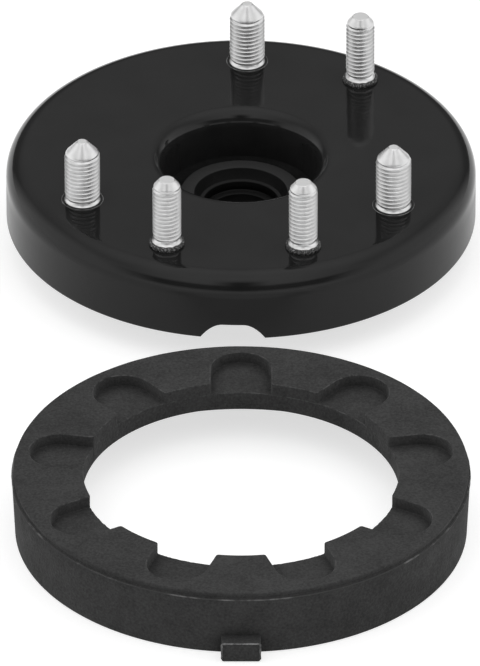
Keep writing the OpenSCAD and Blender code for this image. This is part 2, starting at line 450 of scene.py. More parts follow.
def plant(name, build, places):
    """Copies one mesh to several places and joins the copies in one object."""
    pattern = finish_mesh(name + "_pattern", build)
    joined = bmesh.new()
    for place in places:
        joined.from_mesh(pattern.data)
        bmesh.ops.translate(joined, verts=joined.verts[-len(pattern.data.vertices):], vec=place)
    bpy.data.objects.remove(pattern)
    return finish_mesh(name, joined)


body_stud = stud_mesh(
    mounts["body_studs"]["dims"]["stud_r_mm"] * MM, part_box("body_studs")[1].z,
    taper_h=4.9 * MM, cone_h=3.4 * MM, cone_r=4.5 * MM, tip_r=1.15 * MM, tip_round=0.6 * MM,
    collar=(5.15 * MM, 0.0, 1.0 * MM), shoulder_r=BODY_SHOULDER_R, head_r=8 * MM)
slim_stud = stud_mesh(
    mounts["slim_stud_left"]["dims"]["r_mm"] * MM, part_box("slim_studs")[1].z,
    taper_h=3.6 * MM, cone_h=1.9 * MM, cone_r=3.8 * MM, tip_r=2.1 * MM, tip_round=0.25 * MM,
    collar=(4.45 * MM, 1.15 * MM, 2.35 * MM), shoulder_r=SLIM_SHOULDER_R - KNURL_WALL, head_r=5.5 * MM)
body_studs = plant("threaded_body_studs", body_stud, body_places)
slim_studs = plant("threaded_slim_studs", slim_stud, slim_places)
print("stud faces", len(body_studs.data.polygons), len(slim_studs.data.polygons))

# %% [markdown]
# ## Knurled shoulders
# The thin studs grip the plate with a knurled shoulder. It stands proud as a low mound, and its fine
# teeth have lost some of their paint. The loops of a turned ring go in and out with the angle, which
# keeps the teeth straight and even.

# %% Knurled shoulders
KNURL_TEETH = 46
POINTS_PER_TOOTH = 6
KNURL_DEPTH = 0.2 * MM
KNURL_PROUD = 0.12 * MM
KNURL_WAVES = 4.3
KNURL_SEED = 3
KNURL_UNEVEN = 0.08
# Each loop of the mound: how far in and how high, in millimetres, and the share of the teeth's depth.
KNURL_LEVELS = [
    (1.3, -0.05, 0), (0.0, -0.05, 1), (0.0, 0.5, 1), (0.16, 0.95, 1), (0.42, 1.25, 0.6),
    (0.7, 1.38, 0.2), (1.3, 1.38, 0)]


def knurl_mesh():
    build = bmesh.new()
    count = KNURL_TEETH * POINTS_PER_TOOTH
    loops = []
    for inset, height, share in KNURL_LEVELS:
        loop = []
        for k in range(count):
            angle = 2 * pi * k / count
            tooth = rise(0, 1, abs(2 * (k % POINTS_PER_TOOTH) / POINTS_PER_TOOTH - 1))
            uneven = noise.noise(turned_point(1, angle, KNURL_SEED) * KNURL_WAVES)
            r = SLIM_SHOULDER_R + KNURL_PROUD - KNURL_DEPTH * tooth * share - inset * MM
            z = height * (1 + KNURL_UNEVEN * uneven) if height > 0 else height
            loop.append(turned_point(r, angle, z * MM))
        loops.append(loop)
    skin_loops(build, loops)
    return build


knurls = plant("knurled_shoulders", knurl_mesh(), slim_places)
print("knurl faces", len(knurls.data.polygons))

# %% [markdown]
# ## Paint rims
# Round each thick stud the paint has drawn up over the shoulder into a flat rim, and on its outer edge
# sits a fine pale line, a painted highlight. Each has a crisp edge of its own, so both are small turned
# rings.

# %% Paint rims and their painted highlight lines
RIM_SEGMENTS = 96
HIGHLIGHT_LINE_R = 5.97 * MM
HIGHLIGHT_LINE_HALF_W = 0.11 * MM
HIGHLIGHT_LINE_SINK = 0.1 * MM
# The rim's half section, as radius and height in millimetres.
RIM_SECTION = [(5.2, -0.3), (5.2, 0.02), (5.3, 0.05), (5.85, 0.05), (5.95, -0.05), (5.95, -0.3)]

rim_mesh = turned_mesh([(r * MM, z * MM) for r, z in RIM_SECTION], RIM_SEGMENTS)
# The pale line round each rim is a painted highlight: a thin bead with a pale finish of its own.
highlight_line_section = [(HIGHLIGHT_LINE_R - HIGHLIGHT_LINE_HALF_W, -HIGHLIGHT_LINE_SINK)]
highlight_line_section += arc(HIGHLIGHT_LINE_R, 0, HIGHLIGHT_LINE_HALF_W, 170, 10, steps=6)
highlight_line_section += [(HIGHLIGHT_LINE_R + HIGHLIGHT_LINE_HALF_W, -HIGHLIGHT_LINE_SINK)]
paint_rims = plant("paint_rims", rim_mesh, body_places)
painted_rim_highlights = plant("painted_highlight_lines", turned_mesh(highlight_line_section, RIM_SEGMENTS), body_places)
print("rim faces", len(paint_rims.data.polygons), len(painted_rim_highlights.data.polygons))

# %% [markdown]
# ## Rod sleeve and bush
# The strut's rod ends in a stepped steel sleeve, held by rubber that is bonded into the pocket.
# Both are plain turned shapes, so each is one half section. The rubber creeps up a little where it
# meets steel, and its free face is dished between.

# %% Rod sleeve
SLEEVE_TOP = -12.9 * MM
FLANGE_R = 17.7 * MM
FLANGE_T = 2.5 * MM
SLEEVE_R = 15.5 * MM
RECESS_R = 13.4 * MM
RECESS_FLOOR_R = 12.2 * MM
WELL_R = 10.8 * MM
STEP_H = 3 * MM
BREAK = 0.35 * MM
SLEEVE_SEGMENTS = 144
rod_r = mounts["rod_bore"]["dims"]["r_mm"] * MM
under_flange = SLEEVE_TOP - FLANGE_T


def make_sleeve():
    ledge = SLEEVE_TOP - STEP_H
    seat = ledge - STEP_H
    section = [(rod_r + BREAK, floor_z), (SLEEVE_R - BREAK, floor_z), (SLEEVE_R, floor_z + BREAK),
               (SLEEVE_R, under_flange), (FLANGE_R - BREAK, under_flange)]
    section += arc(FLANGE_R - BREAK, SLEEVE_TOP - BREAK, BREAK, 0, 90, steps=4)
    section += arc(RECESS_R + BREAK, SLEEVE_TOP - BREAK, BREAK, 90, 170, steps=4)
    section += [(RECESS_FLOOR_R, ledge + BREAK / 2), (RECESS_FLOOR_R - BREAK / 2, ledge)]
    section += arc(WELL_R + BREAK, ledge - BREAK, BREAK, 90, 180, steps=4)
    section += [(WELL_R, seat + BREAK), (WELL_R - BREAK, seat)]
    section += arc(rod_r + BREAK, seat - BREAK, BREAK, 90, 180, steps=3) + [(rod_r, floor_z + BREAK)]
    return finish_mesh("stepped_rod_sleeve", turned_mesh(section, SLEEVE_SEGMENTS))


sleeve = make_sleeve()
print("sleeve faces", len(sleeve.data.polygons))

# %% Rod bush
BOND_GAP = 0.05 * MM
RUBBER_TOP = SLEEVE_TOP - 2 * MM
RUBBER_CREEP = 0.5 * MM
RUBBER_DISH = 0.9 * MM
CREEP_POWER = 6
DISH_POWER = 1.5
RUBBER_SHARES = [i / 16 for i in range(17)]


def rubber_height(share):
    """Height of the rubber's free face at a share of the way from flange to pocket."""
    creep = RUBBER_CREEP * (2 * share - 1) ** CREEP_POWER
    return RUBBER_TOP + creep - RUBBER_DISH * sin(pi * share) ** DISH_POWER


def make_bush():
    inner, outer, neck = SLEEVE_R + BOND_GAP, POCKET_R - BOND_GAP, FLANGE_R + BOND_GAP
    foot = floor_z + SHEET
    free_face = [(neck + (outer - neck) * t, rubber_height(t)) for t in RUBBER_SHARES]
    section = [(inner, foot), (outer - FOOT_R + SHEET, foot), (outer, foot + FOOT_R - SHEET)]
    section += free_face[::-1] + [(neck, under_flange), (inner, under_flange)]
    return finish_mesh("bonded_rod_bush", turned_mesh(section, SLEEVE_SEGMENTS))


bush = make_bush()
print("bush faces", len(bush.data.polygons))

# %% [markdown]
# ## Spring isolator
# The ring is moulded rubber. Its bore is broken by pockets that are open to the middle, and all its
# edges are soft. The bore's outline in plan is worked out once for half a pocket, with the direction
# into the rubber at each point, and then repeated. Moving that outline along those directions gives
# true rounded edges, where a Bevel modifier would struggle with the corners between pocket and bore.

# %% Outline of the bore and its pockets
POCKETS = 9
POCKET_HALF_W = 8.7 * MM
POCKET_END_R = 52.05 * MM
BORE_R = 44.75 * MM
CORNER_R = 0.9 * MM
END_STEPS = 24
SIDE_STEPS = 6
CORNER_STEPS = 5
LAND_STEPS = 8


def half_pocket():
    """Points from a pocket's far end to the middle of the next land, with directions into the rubber."""
    rows = []
    for i in range(END_STEPS + 1):
        t = pi / 2 * i / END_STEPS
        rows.append(((POCKET_END_R + POCKET_HALF_W * cos(t), POCKET_HALF_W * sin(t)),
                     (cos(t), sin(t))))
    corner_y = POCKET_HALF_W + CORNER_R
    corner_x = sqrt((BORE_R + CORNER_R) ** 2 - corner_y ** 2)
    for i in range(1, SIDE_STEPS + 1):
        side_x = POCKET_END_R + (corner_x - POCKET_END_R) * i / SIDE_STEPS
        rows.append(((side_x, POCKET_HALF_W), (0, 1)))
    turn_end = atan2(corner_y, corner_x)
    for i in range(1, CORNER_STEPS + 1):
        lean = -pi / 2 - (pi / 2 - turn_end) * i / CORNER_STEPS
        rows.append(((corner_x + CORNER_R * cos(lean), corner_y + CORNER_R * sin(lean)),
                     (-cos(lean), -sin(lean))))
    land_end = pi / POCKETS
    for i in range(1, LAND_STEPS + 1):
        t = turn_end + (land_end - turn_end) * i / LAND_STEPS
        rows.append(((BORE_R * cos(t), BORE_R * sin(t)), (cos(t), sin(t))))
    return rows


def bore_outline():
    """The whole outline as (point, direction into the rubber, depth of pocket there)."""
    half = [(Vector(p), Vector(n)) for p, n in half_pocket()]
    mirror = [(Vector((p.x, -p.y)), Vector((n.x, -n.y))) for p, n in half]
    # Both halves hold the pocket's far end and the land's middle, so the mirrored one leaves them out.
    one = mirror[-2:0:-1] + half
    outline = []
    for k in range(POCKETS):
        turn = Matrix.Rotation(pi / 2 + 2 * pi * k / POCKETS, 2)
        outline += [(turn @ p, turn @ n, max(0, p.length - BORE_R)) for p, n in one]
    return outline


outline = bore_outline()
print("outline points", len(outline))

# %% [markdown]
# With the outline ready, each loop of the ring is either the outline moved by some distance, or a
# circle through the same angles. Moulded rubber is never quite even, so a circle can wander by some
# noise, and the edge between a pocket's floor and the bore is a little ragged.

# %% Kinds of loop in the ring
WIDE_WAVES = 9
FINE_WAVES = 31
FINE_SHARE = 0.5
EDGE_SHARE = 0.45
RAGGED = 0.16 * MM
RAGGED_WAVE = 1.3 * MM


def circle_loop(radius, z, wobble=0.0, seed=0.0):
    """A circle through the outline's angles, whose radius wanders by about the wobble."""
    loop = []
    for point, _, _ in outline:
        ray = point.normalized()
        wide = noise.noise(Vector((ray.x * WIDE_WAVES, ray.y * WIDE_WAVES, seed)))
        fine = noise.noise(Vector((ray.x * FINE_WAVES, ray.y * FINE_WAVES, seed)))
        loop.append(Vector((*(ray * (radius + wobble * (wide + FINE_SHARE * fine))), z)))
    return loop


def moved_loop(distance, z):
    """The outline moved into the rubber by a distance, or into the pocket if negative."""
    loop = []
    for point, into_rubber, depth in outline:
        step = distance if distance > 0 else max(distance, -EDGE_SHARE * depth)
        loop.append(Vector((*(point + into_rubber * step), z)))
    return loop


def floor_edge_loop(inset, z):
    """Along the bore, on the pockets' floors; on the lands it stays on the bore's wall."""
    loop = []
    for point, _, depth in outline:
        ragged = RAGGED * (1 + noise.noise(Vector((point.x, point.y, 0)) / RAGGED_WAVE))
        back = min(inset + ragged, EDGE_SHARE * depth)
        loop.append(Vector((*(point.normalized() * (BORE_R + back)), z)))
    return loop


print("edges are ragged by", round(RAGGED / MM, 2), "mm")

# %% [markdown]
# The stack of loops starts under the skirt, goes up the inside to the spring's seat, up the bore, over
# the pockets' edges and the top face, and down the outside, past the groove where the mould's halves
# met. Closing the stack under the skirt makes it one skin without a seam.

# %% Spring isolator
RING_H = ring_high.z - ring_low.z
POCKET_DEPTH = 3.6 * MM
SEAT_Z = 11.4 * MM
SKIRT_R = 57.35 * MM
SEAT_CORNER_R = 3 * MM
RING_DRAFT = 0.9 * MM
SKIRT_LEAD = 4.9 * MM
SKIRT_LEAD_H = 3.9 * MM
TOP_ROUND = 0.28 * MM
EDGE_INSET = 0.5 * MM
EDGE_ROUND = 0.45 * MM
EDGE_WOBBLE = 0.05 * MM
EDGE_SEED = 2
FOOT_ROUND = 0.4 * MM
FOOT_SLOPE = 0.6
FLOOR_FILLET = 0.35 * MM
NUDGE = 1e-9
# The groove at the mould's joint: out from the ring's radius and down from its top, in millimetres.
GROOVE = [(-0.72, 1.3), (-0.84, 1.6), (-0.7, 1.9), (-0.4, 2.1), (-0.12, 2.2), (-0.08, 2.4)]


def inner_loops():
    """From under the skirt to the rounded edges of the top face."""
    pocket_floor = RING_H - POCKET_DEPTH
    lead_r = SKIRT_R + SKIRT_LEAD
    quarter = [(1 - cos(t), 1 - sin(t)) for t in (radians(22.5 * i) for i in range(5))]
    circles = [(lead_r + FOOT_ROUND, 0), (lead_r - FOOT_ROUND, FOOT_ROUND * FOOT_SLOPE),
               (SKIRT_R + FOOT_ROUND, SKIRT_LEAD_H), (SKIRT_R, SKIRT_LEAD_H + FOOT_ROUND)]
    circles += arc(SKIRT_R - SEAT_CORNER_R, SEAT_Z - SEAT_CORNER_R, SEAT_CORNER_R, 0, 90)
    circles += arc(BORE_R + TOP_ROUND, SEAT_Z + TOP_ROUND, TOP_ROUND, 270, 180, steps=4)
    loops = [circle_loop(r, z) for r, z in circles]
    loops += [floor_edge_loop(TOP_ROUND * c, pocket_floor - TOP_ROUND * s) for c, s in quarter]
    loops += [moved_loop(-FLOOR_FILLET * s, pocket_floor + FLOOR_FILLET * c) for c, s in quarter]
    return loops + [moved_loop(TOP_ROUND * c + NUDGE, RING_H - TOP_ROUND * s) for c, s in quarter]


def outer_loops():
    """Across the top face and down the outside to the foot."""
    edge_r = ring_r - EDGE_INSET - EDGE_ROUND
    foot_r = ring_r - RING_DRAFT
    loops = [moved_loop(TOP_ROUND + SUPPORT, RING_H), circle_loop(edge_r - SUPPORT, RING_H)]
    loops += [circle_loop(r, z, EDGE_WOBBLE, EDGE_SEED)
              for r, z in arc(edge_r, RING_H - EDGE_ROUND, EDGE_ROUND, 90, 0)]
    loops += [circle_loop(ring_r + out * MM, RING_H - drop * MM) for out, drop in GROOVE]
    return loops + [circle_loop(foot_r + RING_DRAFT * FOOT_ROUND / RING_H, FOOT_ROUND),
                    circle_loop(foot_r - FOOT_ROUND, 0)]


def make_isolator():
    build = bmesh.new()
    skin_loops(build, inner_loops() + outer_loops())
    ring = finish_mesh("moulded_spring_isolator", build)
    ring.data.transform(Matrix.Translation(ring_centre))
    return ring


isolator = make_isolator()
print("isolator faces", len(isolator.data.polygons))

# %% [markdown]
# ## Tab
# The tab at the ring's foot fits the notch in the rim. It is a block with soft edges, made from a
# bevelled cube, and a Boolean union joins it to the ring so that the rubber is one piece. Afterwards
# the points on the rounded edges are marked, because the finish of the rubber is chipped there.

# %% Tab
TAB_W = 11 * MM
TAB_H = 6.1 * MM
TAB_INSIDE = 1.3 * MM
TAB_ROUND = 0.7 * MM


def add_tab(ring):
    tab_out = ring_low.y
    tab_in = ring_centre.y - ring_r + RING_DRAFT + TAB_INSIDE
    middle = Matrix.Translation((0, (tab_out + tab_in) / 2, floor_z + TAB_H / 2))
    size = Matrix.Diagonal((TAB_W, tab_in - tab_out, TAB_H, 1))
    build = bmesh.new()
    bmesh.ops.create_cube(build, size=1, matrix=middle @ size)
    bmesh.ops.bevel(build, geom=build.edges[:], offset=TAB_ROUND, segments=3, profile=0.5, affect="EDGES")
    combine(ring, finish_mesh("ring_tab", build), "UNION")


add_tab(isolator)
print("isolator with its tab", len(isolator.data.polygons))

# %% Worn edges of the ring
ROUND_LOW, ROUND_HIGH = 0.05, 0.95


def mark_edges(ring):
    """Marks the points on the rounded edges of lands and pockets, where the rubber chips."""
    wear = ring.data.attributes.new("edge_wear", "FLOAT", "POINT")
    reach = POCKET_END_R + POCKET_HALF_W + TOP_ROUND
    for point, mark in zip(ring.data.vertices, wear.data):
        below_top = ring_high.z - point.co.z
        on_edge = any(ROUND_LOW < (below_top - level) / TOP_ROUND < ROUND_HIGH
                      for level in (0, POCKET_DEPTH))
        from_axis = (point.co - ring_centre).xy.length
        mark.value = 1.0 if on_edge and from_axis < reach else 0.0


mark_edges(isolator)
print("worn points", sum(mark.value > 0 for mark in isolator.data.attributes["edge_wear"].data))

# %% [markdown]
# ## Mould flash
# Where the two halves of a mould meet, rubber creeps into the gap and tears off in a thin pale fin. It
# runs round the ring under its upper edge, and along the edges of the tab. A fin needs its own torn
# edge and its own pale finish, so it is a piece by itself: round the ring a flat band whose outer edge
# wanders, and on the tab three thin tubes of uneven thickness.

# %% Flash round the ring
FLASH_Z = RING_H - 2.2 * MM
FLASH_T = 0.2 * MM
FLASH_ROOT = 0.6 * MM
FLASH_OUT = 0.06 * MM
FLASH_WOBBLE = 0.12 * MM
FLASH_SEED = 7


def make_flash():
    build = bmesh.new()
    inner, outer = ring_r - FLASH_ROOT, ring_r + FLASH_OUT
    low, high = FLASH_Z - FLASH_T / 2, FLASH_Z + FLASH_T / 2
    skin_loops(build, [
        circle_loop(inner, low), circle_loop(inner, high),
        circle_loop(outer, high, FLASH_WOBBLE, FLASH_SEED),
        circle_loop(outer, low, FLASH_WOBBLE, FLASH_SEED)])
    flash = finish_mesh("mould_flash", build)
    flash.data.transform(Matrix.Translation(ring_centre))
    return flash


flash = make_flash()
print("flash faces", len(flash.data.polygons))

# %% Fins on the tab
FIN_STEPS = 28
FIN_SIDES = 8
FIN_R = 0.24 * MM
FIN_UNEVEN = 0.12 * MM
FIN_END_R = 0.04 * MM
FIN_WAVE = 1.1 * MM
FIN_INSET = 0.1 * MM
FIN_SINK = 0.05 * MM
FIN_FOOT_Z = 0.9 * MM


def fin_loops(start, end):
    """Loops of a thin uneven tube between two points."""
    turn = (end - start).to_track_quat("Z", "Y").to_matrix()
    loops = []
    for i in range(FIN_STEPS + 1):
        middle = start.lerp(end, i / FIN_STEPS)
        uneven = noise.noise(middle / FIN_WAVE)
        reach = FIN_END_R if i in (0, FIN_STEPS) else FIN_R + FIN_UNEVEN * uneven
        loops.append([middle + turn @ turned_point(reach, 2 * pi * k / FIN_SIDES, 0)
                      for k in range(FIN_SIDES)])
    return loops


def make_tab_flash():
    """An uneven fin along the tab's upper edge and down its two front corners."""
    build = bmesh.new()
    half, edge_y, top_z = TAB_W / 2 - FIN_INSET, ring_low.y + FIN_INSET, TAB_H - FIN_SINK
    left, right = Vector((-half, edge_y, top_z)), Vector((half, edge_y, top_z))
    left_foot, right_foot = Vector((-half, edge_y, FIN_FOOT_Z)), Vector((half, edge_y, FIN_FOOT_Z))
    for start, end in ((left, right), (left, left_foot), (right, right_foot)):
        skin_loops(build, fin_loops(start, end), closed=False)
    bmesh.ops.holes_fill(build, edges=build.edges)
    bmesh.ops.translate(build, verts=build.verts, vec=(0, 0, floor_z))
    return finish_mesh("tab_flash", build)


tab_flash = make_tab_flash()
print("tab fin faces", len(tab_flash.data.polygons))

# %% [markdown]
# ## Material helpers
# Every finish here is a Principled shader fed by noise in the object's own metres, so it needs no
# unwrapping. Most helpers add one node and hand back the socket that the next one needs.

# %% Materials and nodes
def new_material(name, **sockets):
    """A Principled material with plain socket values, its node tree and the shader."""
    material = bpy.data.materials.new(name)
    material.use_nodes = True
    tree = material.node_tree
    shader = tree.nodes["Principled BSDF"]
    for socket, value in sockets.items():
        shader.inputs[socket.replace("_", " ")].default_value = value
    return material, tree, shader


def add_node(tree, kind, inputs=None, **settings):
    """A node with its settings and its inputs, where an input is a value or another node's socket."""
    node = tree.nodes.new(kind)
    for key, value in settings.items():
        setattr(node, key, value)
    for key, value in (inputs or {}).items():
        if isinstance(value, bpy.types.NodeSocket):
            tree.links.new(value, node.inputs[key])
        else:
            node.inputs[key].default_value = value
    return node


def feed(shader, name, socket):
    """Links a socket to a shader's input of that name."""
    shader.id_data.links.new(socket, shader.inputs[name])


def add_bump(shader, height, strength, distance):
    bump = add_node(shader.id_data, "ShaderNodeBump", {
        "Height": height, "Strength": strength, "Distance": distance})
    feed(shader, "Normal", bump.outputs["Normal"])


# %% Sums, ramps and noise
def calculate(tree, operation, *values):
    """One Math node on values or sockets."""
    return add_node(tree, "ShaderNodeMath", dict(enumerate(values)), operation=operation).outputs[0]


def stretch(tree, value, low, high, start=0.0, end=1.0):
    """Maps low..high to start..end and holds it at both ends."""
    return add_node(tree, "ShaderNodeMapRange", {
        "Value": value, "From Min": low, "From Max": high, "To Min": start, "To Max": end}).outputs[0]


def blend_numbers(tree, factor, first, second):
    """A Mix node on numbers, which are its sockets 2 and 3."""
    return add_node(tree, "ShaderNodeMix", {0: factor, 2: first, 3: second}).outputs[0]


def blend_colours(tree, factor, first, second, blend_type="MIX"):
    """A Mix node on colours, which are its sockets 6 and 7."""
    return add_node(tree, "ShaderNodeMix", {0: factor, 6: first, 7: second},
                    data_type="RGBA", blend_type=blend_type).outputs[2]


def split_vector(tree, vector):
    return add_node(tree, "ShaderNodeSeparateXYZ", {"Vector": vector}).outputs


def ramp(tree, factor, stops):
    """A colour ramp with grey stops of (place, grey)."""
    node = add_node(tree, "ShaderNodeValToRGB", {"Fac": factor})
    elements = node.color_ramp.elements
    while len(elements) < len(stops):
        elements.new(0.5)
    for element, (place, grey) in zip(elements, stops):
        element.position = place
        element.color = (grey, grey, grey, 1)
    return node.outputs["Color"]


def object_place(tree):
    return add_node(tree, "ShaderNodeTexCoord").outputs["Object"]


def facing_up(tree):
    """How far a face looks up: 1 on a level face, 0 on a wall."""
    return split_vector(tree, add_node(tree, "ShaderNodeNewGeometry").outputs["Normal"])["Z"]


def object_noise(tree, waves, detail=3.0, roughness=0.55):
    """Noise in the object's own metres, with its size in waves per metre."""
    return add_node(tree, "ShaderNodeTexNoise", {
        "Vector": object_place(tree), "Scale": waves, "Detail": detail,
        "Roughness": roughness}).outputs["Fac"]


def noise_ramp(tree, waves, stops, detail=3.0, roughness=0.55):
    """Noise turned into greys by stops of (noise value, grey)."""
    return ramp(tree, object_noise(tree, waves, detail, roughness), stops)


print("node helpers ready")

# %% [markdown]
# ## Paint
# The shell has a thick gloss black coat. Its colour hardly shows: what the eye sees is the studio in
# its surface. So the shader is nearly black with a low roughness, and fine noise in the bump gives
# the faint orange peel of sprayed paint. The rim is duller than the face, and dust has settled on the
# pocket's wall, so roughness follows the height and a paler film follows the distance from the axis.

# %% Gloss paint
DUST_R = POCKET_R + 0.1 * MM
CLEAN_R = POCKET_R + 0.9 * MM
DULL_Z, GLOSS_Z = -10 * MM, -4 * MM
DULL_ROUGHNESS, GLOSS_ROUGHNESS = 0.25, 0.09


def gloss_black_paint():
    material, tree, shader = new_material("gloss_black_paint", IOR=1.3)
    place = object_place(tree)
    coat = noise_ramp(tree, 60, [(0.3, 0.009), (0.7, 0.012)])
    film = noise_ramp(tree, 150, [(0.3, 0.014), (0.7, 0.019)])
    flat = add_node(tree, "ShaderNodeVectorMath", {0: place, 1: (1, 1, 0)}, operation="MULTIPLY")
    from_axis = add_node(tree, "ShaderNodeVectorMath", {0: flat.outputs[0]}, operation="LENGTH")
    dusty = stretch(tree, from_axis.outputs["Value"], DUST_R, CLEAN_R, 1.0, 0.0)
    feed(shader, "Base Color", blend_colours(tree, dusty, coat, film))
    height = split_vector(tree, place)["Z"]
    feed(shader, "Roughness", stretch(tree, height, DULL_Z, GLOSS_Z, DULL_ROUGHNESS, GLOSS_ROUGHNESS))
    add_bump(shader, object_noise(tree, 420, detail=2), strength=0.08, distance=0.2 * MM)
    return material


def painted_highlight_edge():
    material, tree, shader = new_material("painted_highlight_edge", Roughness=0.45)
    # Pale noise on this thin bead paints a highlight along the paint rim's edge.
    feed(shader, "Base Color", noise_ramp(tree, 260, [(0.4, 0.02), (0.65, 0.22)], roughness=0.6))
    return material


paint = gloss_black_paint()
highlight_edge_paint = painted_highlight_edge()
print("materials", paint.name, highlight_edge_paint.name)

# %% [markdown]
# ## Zinc
# Bright zinc is a metal with a soft sheen and a slight haze, so noise moves its tone and its roughness
# a little. The flat tips of the studs were sheared: they are rougher and paler, and the way a face
# looks picks them out. On the knurls the zinc shows only where paint has chipped.

# %% Zinc and chipped knurls
SHEARED_FROM, SHEARED_TO = 0.9, 0.97
SHEARED_GREY = (0.8, 0.8, 0.8, 1)
SHEARED_ROUGHNESS = 0.6
PAINT_HOLDS, PAINT_GONE = 0.54, 0.68


def bright_zinc():
    material, tree, shader = new_material("bright_zinc", Metallic=1.0)
    sheared = stretch(tree, facing_up(tree), SHEARED_FROM, SHEARED_TO)
    haze = noise_ramp(tree, 500, [(0.3, 0.58), (0.65, 0.66)], detail=4)
    feed(shader, "Base Color", blend_colours(tree, sheared, haze, SHEARED_GREY))
    sheen = noise_ramp(tree, 900, [(0.3, 0.3), (0.7, 0.34)])
    feed(shader, "Roughness", blend_numbers(tree, sheared, sheen, SHEARED_ROUGHNESS))
    add_bump(shader, object_noise(tree, 1200, detail=2), strength=0.03, distance=0.1 * MM)
    return material


def chipped_knurl():
    material, tree, shader = new_material("chipped_knurl")
    chips = object_noise(tree, 2300, roughness=0.65)
    for socket, painted, bare in (("Base Color", 0.012, 0.42), ("Metallic", 0.0, 1.0)):
        feed(shader, socket, ramp(tree, chips, [(PAINT_HOLDS, painted), (PAINT_GONE, bare)]))
    feed(shader, "Roughness", ramp(tree, chips, [(0.45, 0.2), (0.6, 0.35)]))
    add_bump(shader, chips, strength=0.4, distance=0.2 * MM)
    return material


zinc = bright_zinc()
knurl_finish = chipped_knurl()
print("materials", zinc.name, knurl_finish.name)

# %% [markdown]
# ## Rubber
# Rubber is the opposite of zinc: dark, matte and cloudy, with a fine grain from the mould, and pale
# chips along its edges. An Ambient Occlusion node that looks only at the piece itself paints shade
# into the colour, darkening the corners of the pockets. The torn flash is dark rubber with pale stretches.

# %% Rubber and torn flash
CREVICE_REACH = 5 * MM
SPECKLE_SHARE = 1.2
MOTTLE_SCALE = 0.4545
COARSE_SHARE = 2.0


def rubber_colour(tree, dark, light, chip, crevice_shade):
    """Cloudy greys with pale chips on the marked edges, times painted shade in the crevices."""
    cloud = object_noise(tree, 60, detail=6, roughness=0.7)
    speckle = object_noise(tree, 1400, detail=2, roughness=0.6)
    mottle = calculate(tree, "MULTIPLY_ADD", speckle, SPECKLE_SHARE, cloud)
    colour = ramp(tree, calculate(tree, "MULTIPLY", mottle, MOTTLE_SCALE), [(0.38, dark), (0.62, light)])
    edge = add_node(tree, "ShaderNodeAttribute", attribute_name="edge_wear").outputs["Fac"]
    torn = noise_ramp(tree, 350, [(0.45, 0.0), (0.62, 1.0)], detail=4, roughness=0.7)
    worn = blend_colours(tree, calculate(tree, "MULTIPLY", edge, torn), colour, (chip, chip, chip, 1))
    # Painted shade: the Ambient Occlusion darkens the colour in the corners of the pockets.
    near = add_node(tree, "ShaderNodeAmbientOcclusion", {"Distance": CREVICE_REACH},
                    samples=6, only_local=True)
    painted_crevice_shade = ramp(tree, near.outputs["AO"], [(0.45, crevice_shade), (0.92, 1.0)])
    return blend_colours(tree, 1.0, worn, painted_crevice_shade, "MULTIPLY")


def moulded_rubber(name, dark, light, chip, crevice_shade, smooth, rough, gloss):
    """Matte rubber with a mould's grain; smooth and rough are the ends of its roughness."""
    material, tree, shader = new_material(name, Specular_IOR_Level=gloss)
    feed(shader, "Base Color", rubber_colour(tree, dark, light, chip, crevice_shade))
    feed(shader, "Roughness", noise_ramp(tree, 200, [(0.3, smooth), (0.7, rough)]))
    coarse = object_noise(tree, 260, detail=4, roughness=0.6)
    grain = calculate(tree, "MULTIPLY_ADD", coarse, COARSE_SHARE, object_noise(tree, 1300))
    add_bump(shader, grain, strength=0.6, distance=0.3 * MM)
    return material


def torn_flash(name, waves, whole, torn):
    """Dark rubber with pale stretches; whole and torn are (noise value, grey)."""
    material, tree, shader = new_material(name, Roughness=0.8)
    feed(shader, "Base Color", noise_ramp(tree, waves, [whole, torn], detail=4, roughness=0.7))
    add_bump(shader, object_noise(tree, 1800), strength=0.4, distance=0.2 * MM)
    return material


ring_rubber = moulded_rubber(
    "ring_rubber", dark=0.027, light=0.053, chip=0.08, crevice_shade=0.25, smooth=0.75, rough=0.9, gloss=0.2)
bush_rubber = moulded_rubber(
    "bush_rubber", dark=0.006, light=0.01, chip=0.01, crevice_shade=0.9, smooth=0.7, rough=0.9, gloss=0.1)
flash_finish = torn_flash("torn_flash", waves=90, whole=(0.5, 0.03), torn=(0.68, 0.19))
fin_finish = torn_flash("pale_tab_fin", waves=420, whole=(0.42, 0.045), torn=(0.64, 0.22))
print("materials", [m.name for m in (ring_rubber, bush_rubber, flash_finish, fin_finish)])

# %% [markdown]
# ## Coated steel
# The sleeve has a thin satin black coat. Level faces are painted paler than walls, as painted light, and
# painted shade changes the tone down the bore. One ramp by the way a face looks, times one by its height,
# gives that tone.

# %% Coated steel
PAINTED_LIGHT_ON_LEVEL_FACES = [(0.8, 0.33), (0.97, 1.0)]
PAINTED_SHADE_BY_HEIGHT = [(0.0, 0.03), (0.25, 0.02), (0.45, 0.012), (0.66, 0.009), (0.82, 0.018), (1.0, 0.031)]


def coated_steel():
    material, tree, shader = new_material("coated_steel", IOR=1.18)
    # Painted light: level faces get a paler tone than walls.
    level = ramp(tree, calculate(tree, "ABSOLUTE", facing_up(tree)), PAINTED_LIGHT_ON_LEVEL_FACES)
    height = split_vector(tree, object_place(tree))["Z"]
    # Painted shade: the tone changes with height down the bore, darkest about two thirds of the way up.
    painted_shade_down_bore = ramp(tree, stretch(tree, height, floor_z, SLEEVE_TOP), PAINTED_SHADE_BY_HEIGHT)
    feed(shader, "Base Color", calculate(tree, "MULTIPLY", level, painted_shade_down_bore))
    feed(shader, "Roughness", noise_ramp(tree, 400, [(0.3, 0.38), (0.7, 0.5)]))
    add_bump(shader, object_noise(tree, 900), strength=0.1, distance=0.2 * MM)
    return material


coating = coated_steel()
print("material", coating.name)
